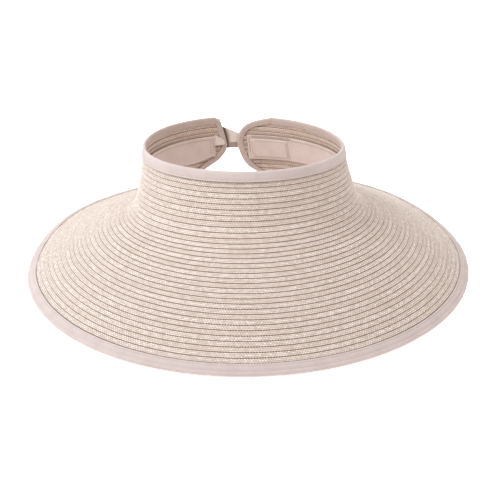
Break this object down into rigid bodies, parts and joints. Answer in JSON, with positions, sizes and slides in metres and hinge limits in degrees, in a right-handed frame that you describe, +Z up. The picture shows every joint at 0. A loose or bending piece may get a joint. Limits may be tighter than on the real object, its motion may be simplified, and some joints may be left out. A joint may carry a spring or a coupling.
{
  "type": "sun visor",
  "caption": "Wide-brim roll-up sun visor of sewn straw braid with bound edges, sweatband and a hook-and-loop strap across its split back.",
  "frame": {"origin": "centre of the bounding box on the table that the brim's edge rests on", "axes": "+Z up, the brim's front faces -Y, +X is to the right seen from the front"},
  "size_m": [0.3997, 0.3089, 0.1222],
  "materials": {
    "straw_braid": "matt plaited paper straw",
    "binding_tape": "plain woven bias tape",
    "tape_fabric": "plain woven bias tape",
    "sweatband_fabric": "soft woven cotton",
    "hook_tape_nylon": "woven nylon hooks",
    "loop_tape_nylon": "brushed nylon loops",
    "wire": "plain plastic shaping wire"
  },
  "bodies": {
    "visor": {"crown_braid_row_01": "straw_braid", "crown_braid_row_02": "straw_braid", "crown_braid_row_03": "straw_braid", "crown_braid_row_04": "straw_braid", "crown_braid_row_05": "straw_braid", "crown_braid_row_06": "straw_braid", "crown_braid_row_07": "straw_braid", "crown_braid_row_08": "straw_braid", "crown_braid_row_09": "straw_braid", "crown_braid_row_10": "straw_braid", "brim_braid_row_01": "straw_braid", "brim_braid_row_02": "straw_braid", "brim_braid_row_03": "straw_braid", "brim_braid_row_04": "straw_braid", "brim_braid_row_05": "straw_braid", "brim_braid_row_06": "straw_braid", "brim_braid_row_07": "straw_braid", "brim_braid_row_08": "straw_braid", "brim_braid_row_09": "straw_braid", "brim_braid_row_10": "straw_braid", "brim_braid_row_11": "straw_braid", "brim_braid_row_12": "straw_braid", "brim_braid_row_13": "straw_braid", "brim_braid_row_14": "straw_braid", "brim_braid_row_15": "straw_braid", "brim_braid_row_16": "straw_braid", "brim_braid_row_17": "straw_braid", "brim_braid_row_18": "straw_braid", "brim_braid_row_19": "straw_braid", "brim_braid_row_20": "straw_braid", "brim_braid_row_21": "straw_braid", "brim_braid_row_22": "straw_braid", "brim_braid_row_23": "straw_braid", "brim_braid_row_24": "straw_braid", "rim_braid_row": "straw_braid", "edge_braid_row": "straw_braid", "rim_binding": "binding_tape", "edge_binding": "binding_tape", "brim_wire": "wire", "sweatband": "sweatband_fabric", "band_patch": "sweatband_fabric", "strap_base": "tape_fabric", "loop_tape": "loop_tape_nylon", "strap_tail": "tape_fabric"},
    "strap": {"closure_strap": "tape_fabric", "hook_tape": "hook_tape_nylon"}
  },
  "joints": [
    {"name": "strap_peel", "type": "hinge", "parent": "visor", "child": "strap", "pos_m": [-0.02049, 0.1401, 0.07859], "axis": [0.0236, 0.3413, 0.9397], "range_deg": [0, 100]}
  ]
}
